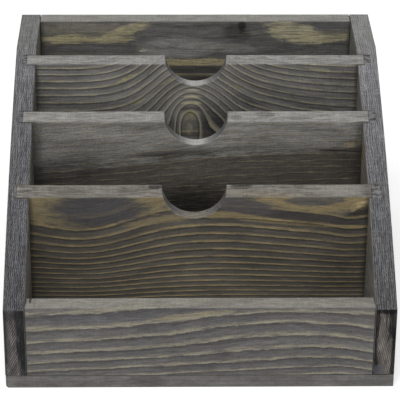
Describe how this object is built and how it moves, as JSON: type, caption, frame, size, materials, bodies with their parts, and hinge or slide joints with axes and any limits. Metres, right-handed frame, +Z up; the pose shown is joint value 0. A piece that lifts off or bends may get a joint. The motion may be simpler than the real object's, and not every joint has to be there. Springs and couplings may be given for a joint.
{
  "type": "desk mail organizer",
  "caption": "Wooden desk mail organizer with stepped slots, finger-notched dividers, curved side boards and a low front rail.",
  "frame": {"origin": "under the middle of the base board, on the surface that it stands on", "axes": "+X across to the right when seen from the front, +Y from the front rail to the back panel, +Z up"},
  "size_m": [0.33, 0.34, 0.205],
  "materials": {
    "grey_pine": "grey-stained pine, matt, with paler tan grain lines",
    "side_pine": "grey-stained pine, matt, darker at the end grain",
    "divider_pine": "grey-stained pine, matt, with pale sanded top edges",
    "wood_filler": "rough stained wood filler",
    "brad_steel": "bright wire brad"
  },
  "bodies": {
    "root": {"base_board": "grey_pine", "left_side": "side_pine", "right_side": "side_pine", "front_rail": "grey_pine", "front_divider": "divider_pine", "middle_divider": "divider_pine", "rear_divider": "divider_pine", "back_panel": "grey_pine", "joint_filler": "wood_filler", "base_brads": "brad_steel", "side_brads": "brad_steel"}
  },
  "joints": []
}
